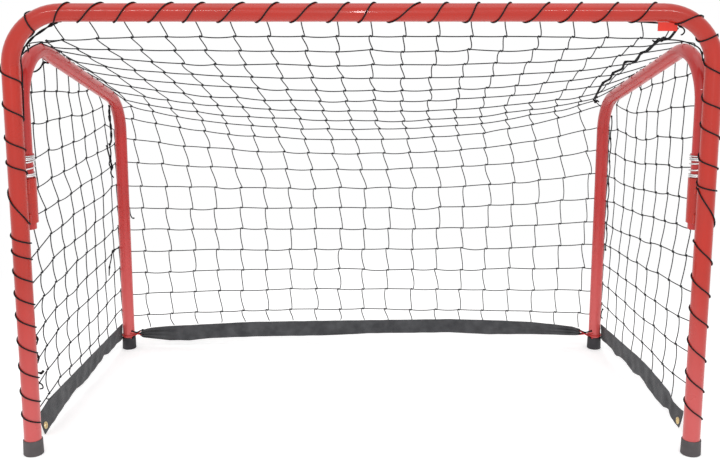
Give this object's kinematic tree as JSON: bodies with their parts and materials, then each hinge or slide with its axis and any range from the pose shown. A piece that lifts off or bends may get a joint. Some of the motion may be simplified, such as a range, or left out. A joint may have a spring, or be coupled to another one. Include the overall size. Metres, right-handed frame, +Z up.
{
  "type": "folding street hockey goal",
  "caption": "Small folding goal with a bent tube mouth frame, sprung folding side frames, a laced knotted net and a cloth skirt.",
  "frame": {"origin": "on the floor, under the middle of the goal's outline", "axes": "+X across the mouth to the right seen from in front, +Y back into the goal, +Z up"},
  "size_m": [0.9536, 0.4531, 0.6268],
  "materials": {
    "red_paint": "gloss",
    "side_red_paint": "gloss",
    "cap_rubber": "matte",
    "zinc": "satin",
    "black_steel": "satin",
    "twine": "matte",
    "lacing_cord": "matte",
    "skirt_cloth": "matte",
    "brass": "gloss",
    "tie_red": "gloss",
    "tab_red": "matte"
  },
  "bodies": {
    "front_frame": {"front_frame": "red_paint", "left_front_cap": "cap_rubber", "right_front_cap": "cap_rubber", "left_sleeve": "red_paint", "right_sleeve": "red_paint", "left_welds": "red_paint", "right_welds": "red_paint", "left_spring": "zinc", "right_spring": "zinc", "net_roof": "twine", "net_back": "twine", "front_lacing": "lacing_cord", "left_corner_cord": "lacing_cord", "right_roof_cord": "lacing_cord", "back_skirt": "skirt_cloth", "top_tab": "tab_red"},
    "left_seat": {"left_washer": "zinc"},
    "right_seat": {"right_washer": "zinc"},
    "left_side": {"left_side_frame": "side_red_paint", "left_rear_cap": "cap_rubber", "left_cross_pin": "black_steel", "left_side_net": "twine", "left_seam_cord": "lacing_cord", "left_skirt": "skirt_cloth", "left_eyelet": "brass", "left_tie": "tie_red"},
    "right_side": {"right_side_frame": "side_red_paint", "right_rear_cap": "cap_rubber", "right_cross_pin": "black_steel", "right_side_net": "twine", "right_seam_cord": "lacing_cord", "right_skirt": "skirt_cloth", "right_eyelet": "brass", "right_tie": "tie_red"}
  },
  "joints": [
    {"name": "left_press", "type": "slide", "parent": "front_frame", "child": "left_seat", "axis": [0, 0, 1], "range_m": [-0.006, 0], "stiffness_N_per_m": 2500, "springref_m": 0.008, "deforming": ["left_spring"]},
    {"name": "right_press", "type": "slide", "parent": "front_frame", "child": "right_seat", "axis": [0, 0, 1], "range_m": [-0.006, 0], "stiffness_N_per_m": 2500, "springref_m": 0.008, "deforming": ["right_spring"]},
    {"name": "left_fold", "type": "hinge", "parent": "left_seat", "child": "left_side", "pos_m": [-0.459, -0.1872, 0.36], "axis": [0, 0, -1], "range_deg": [0, 85.6], "deforming": ["net_roof", "net_back", "back_skirt"]},
    {"name": "right_fold", "type": "hinge", "parent": "right_seat", "child": "right_side", "pos_m": [0.459, -0.1872, 0.36], "axis": [0, 0, 1], "range_deg": [0, 85.6], "deforming": ["net_roof", "net_back", "back_skirt", "right_roof_cord"]}
  ]
}
